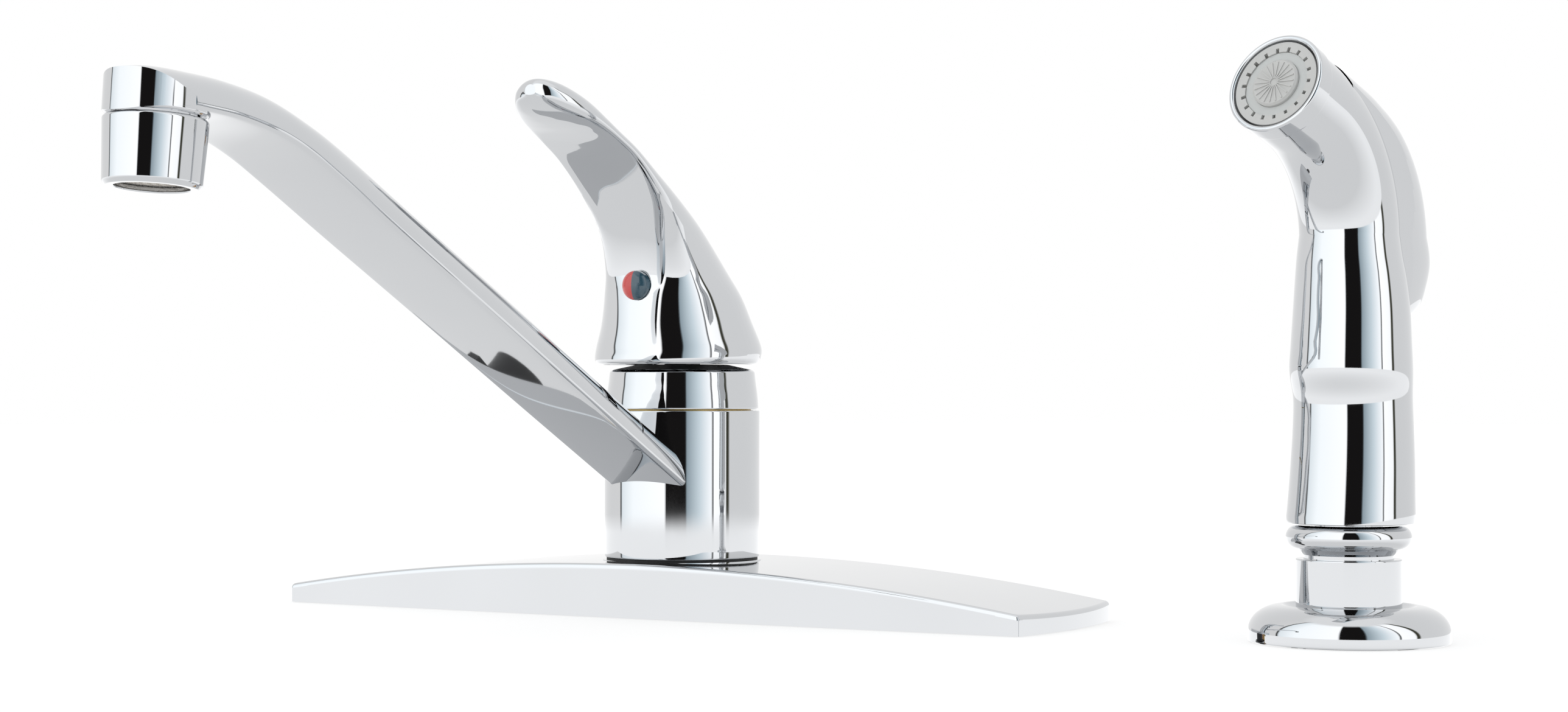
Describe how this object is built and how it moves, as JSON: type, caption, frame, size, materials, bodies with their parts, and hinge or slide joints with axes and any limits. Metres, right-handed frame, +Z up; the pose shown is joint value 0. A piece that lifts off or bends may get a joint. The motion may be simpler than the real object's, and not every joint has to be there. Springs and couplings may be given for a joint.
{
  "type": "kitchen faucet",
  "caption": "Single-lever kitchen faucet on an arched deck plate, with a rising swivel spout and a pull-up side spray in its own holder.",
  "frame": {"origin": "on the spout's axis at the top of the sink deck", "axes": "+X along the deck plate towards the side spray, -Y the way the spout points at rest, +Z up"},
  "size_m": [0.356, 0.266, 0.2159],
  "materials": {
    "chrome": "polished chrome plate",
    "chrome_plastic": "polished chrome plate on moulded plastic",
    "brass": "machined",
    "copper": "drawn copper tube",
    "steel": "machined stainless steel",
    "black_plastic": "moulded",
    "black_rubber": "moulded",
    "white_plastic": "moulded",
    "ceramic": "lapped ceramic",
    "screen_plastic": "moulded mesh",
    "button_plastic": "moulded, red half and dark blue half",
    "grey_plastic": "moulded",
    "pale_grey_plastic": "moulded"
  },
  "bodies": {
    "base": {"deck_plate": "chrome", "base_pan": "black_plastic", "deck_gasket": "black_rubber", "mounting_shanks": "black_plastic", "mounting_washers": "steel", "mounting_nuts": "black_plastic", "valve_body": "brass", "supply_tubes": "copper", "spray_outlet": "brass", "cartridge_seals": "black_rubber", "cartridge_base": "white_plastic", "cartridge_housing": "white_plastic", "fixed_disc": "ceramic", "cartridge_nut": "brass", "cap_ring": "chrome", "base_ring": "black_rubber", "upper_glide_ring": "white_plastic", "spout_o_rings": "black_rubber", "spray_holder": "chrome_plastic", "holder_gasket": "black_rubber", "holder_nut": "black_plastic"},
    "spout_set": {"spout": "chrome", "aerator_washer": "black_rubber", "aerator_insert": "white_plastic", "aerator_screen": "screen_plastic", "aerator_shell": "chrome"},
    "rotor": {"stem_carrier": "white_plastic", "stem_pin": "steel"},
    "lever": {"lever_stem": "steel", "handle": "chrome", "set_screw": "steel", "index_button": "button_plastic"},
    "upper_disc": {"moving_disc": "ceramic", "disc_carrier": "white_plastic"},
    "diverter": {"diverter_plunger": "white_plastic", "diverter_seal": "black_rubber"},
    "hose_end": {"hose_coupling": "chrome_plastic", "coupling_clip": "steel", "swivel_seal": "black_rubber"},
    "spray": {"spray_body": "chrome_plastic", "spray_bezel": "chrome_plastic", "spray_face": "grey_plastic", "spray_inner_ring": "pale_grey_plastic", "spray_centre_disc": "grey_plastic", "trigger_pin": "steel", "stem_seal": "black_rubber", "trigger_spring": "steel"},
    "trigger": {"spray_trigger": "chrome_plastic"},
    "spray_valve": {"spray_valve_stem": "steel"}
  },
  "joints": [
    {"name": "spout_swivel", "type": "hinge", "parent": "base", "child": "spout_set", "pos_m": [0, 0, 0.03], "axis": [0, 0, 1], "range_deg": [-70, 70]},
    {"name": "handle_turn", "type": "hinge", "parent": "base", "child": "rotor", "pos_m": [0, 0, 0.058], "axis": [0, 0, 1], "range_deg": [-50, 50]},
    {"name": "handle_lift", "type": "hinge", "parent": "rotor", "child": "lever", "pos_m": [0, 0, 0.058], "axis": [-1, 0, 0], "range_deg": [0, 20]},
    {"name": "disc_slide", "type": "slide", "parent": "rotor", "child": "upper_disc", "axis": [0, -1, 0], "range_m": [-0.0001, 0.0026]},
    {"name": "diverter_lift", "type": "slide", "parent": "base", "child": "diverter", "axis": [0, 0, 1], "range_m": [0, 0.006]},
    {"name": "spray_lift", "type": "slide", "parent": "base", "child": "hose_end", "axis": [0, 0, 1], "range_m": [0, 0.15]},
    {"name": "spray_turn", "type": "hinge", "parent": "hose_end", "child": "spray", "pos_m": [0.2032, 0, 0.035], "axis": [0, 0, 1], "continuous": true},
    {"name": "trigger_press", "type": "hinge", "parent": "spray", "child": "trigger", "pos_m": [0.20095, -0.00974, 0.139], "axis": [-0.9744, 0.225, 0], "range_deg": [0, 6], "stiffness_Nm_per_rad": 1.5, "springref_deg": -5.73},
    {"name": "spray_valve_slide", "type": "slide", "parent": "spray", "child": "spray_valve", "axis": [-0.225, -0.9744, 0], "range_m": [-0.0001, 0.0043], "deforming": ["trigger_spring"]}
  ],
  "couplings": [
    {"joint": "disc_slide", "follows": "handle_lift", "m_per_rad": 0.007},
    {"joint": "spray_valve_slide", "follows": "trigger_press", "m_per_rad": 0.04}
  ]
}
